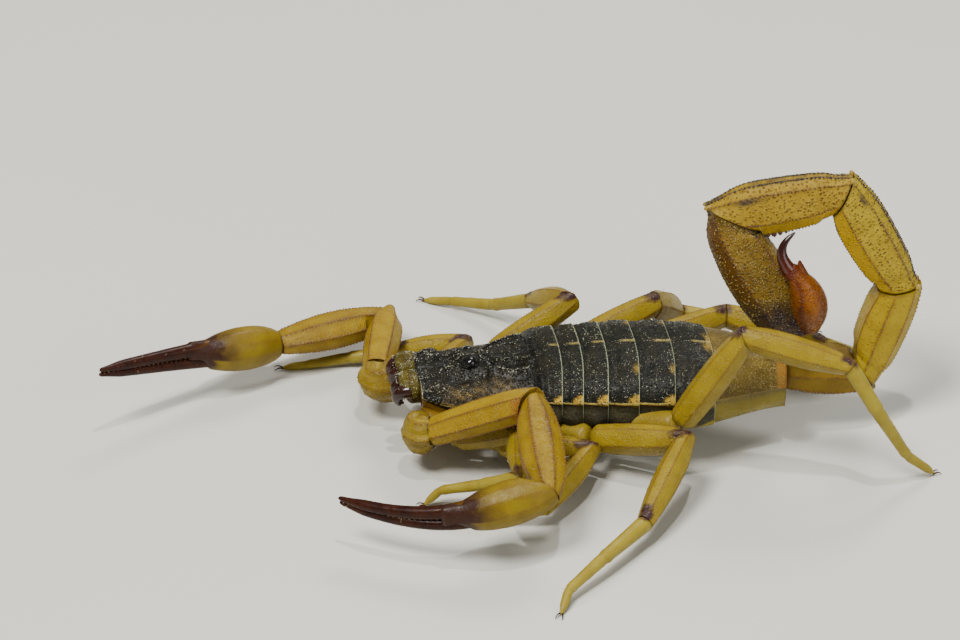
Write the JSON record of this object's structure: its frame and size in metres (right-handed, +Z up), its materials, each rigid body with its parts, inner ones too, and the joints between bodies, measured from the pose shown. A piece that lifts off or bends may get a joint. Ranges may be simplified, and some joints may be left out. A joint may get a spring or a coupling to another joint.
{
  "type": "scorpion",
  "caption": "Yellow scorpion standing with both claws forward and its tail curled over its back, a still life-size model.",
  "frame": {"origin": "middle of the animal's bounding box in plan, on the floor under its feet", "axes": "+X towards the curled tail, so the head faces -X; +Y towards the animal's right side; +Z up"},
  "size_m": [0.0496, 0.033, 0.0172],
  "materials": {
    "dark_shell": "satin, finely grained",
    "olive_shell": "satin, finely grained",
    "ochre_shell": "satin, finely grained",
    "pale_shell": "satin",
    "claw_tip": "semi-gloss",
    "sting": "gloss",
    "eye": "high gloss"
  },
  "bodies": {
    "root": {"prosoma": "dark_shell", "eye_median_left": "eye", "eye_median_right": "eye", "chelicera_left": "olive_shell", "chelicera_right": "olive_shell", "pecten_left": "pale_shell", "pecten_right": "pale_shell", "mesosoma_1": "dark_shell", "mesosoma_2": "dark_shell", "mesosoma_3": "dark_shell", "mesosoma_4": "dark_shell", "mesosoma_5": "dark_shell", "mesosoma_6": "dark_shell", "mesosoma_7": "olive_shell", "metasoma_1": "ochre_shell", "metasoma_2": "ochre_shell", "metasoma_3": "ochre_shell", "metasoma_4": "ochre_shell", "metasoma_5": "olive_shell", "telson_vesicle": "sting", "telson_aculeus": "claw_tip", "pedipalp_left_trochanter": "ochre_shell", "pedipalp_left_femur": "ochre_shell", "pedipalp_left_patella": "ochre_shell", "pedipalp_left_manus": "ochre_shell", "pedipalp_left_finger": "claw_tip", "pedipalp_right_trochanter": "ochre_shell", "pedipalp_right_femur": "ochre_shell", "pedipalp_right_patella": "ochre_shell", "pedipalp_right_manus": "ochre_shell", "pedipalp_right_finger": "claw_tip", "leg_left_1_femur": "ochre_shell", "leg_left_1_patella": "ochre_shell", "leg_left_1_foot": "pale_shell", "leg_left_2_femur": "ochre_shell", "leg_left_2_patella": "ochre_shell", "leg_left_2_foot": "pale_shell", "leg_left_3_femur": "ochre_shell", "leg_left_3_patella": "ochre_shell", "leg_left_3_foot": "pale_shell", "leg_left_4_femur": "ochre_shell", "leg_left_4_patella": "ochre_shell", "leg_left_4_foot": "pale_shell", "leg_right_1_femur": "ochre_shell", "leg_right_1_patella": "ochre_shell", "leg_right_1_foot": "pale_shell", "leg_right_2_femur": "ochre_shell", "leg_right_2_patella": "ochre_shell", "leg_right_2_foot": "pale_shell", "leg_right_3_femur": "ochre_shell", "leg_right_3_patella": "ochre_shell", "leg_right_3_foot": "pale_shell", "leg_right_4_femur": "ochre_shell", "leg_right_4_patella": "ochre_shell", "leg_right_4_foot": "pale_shell"}
  },
  "joints": []
}
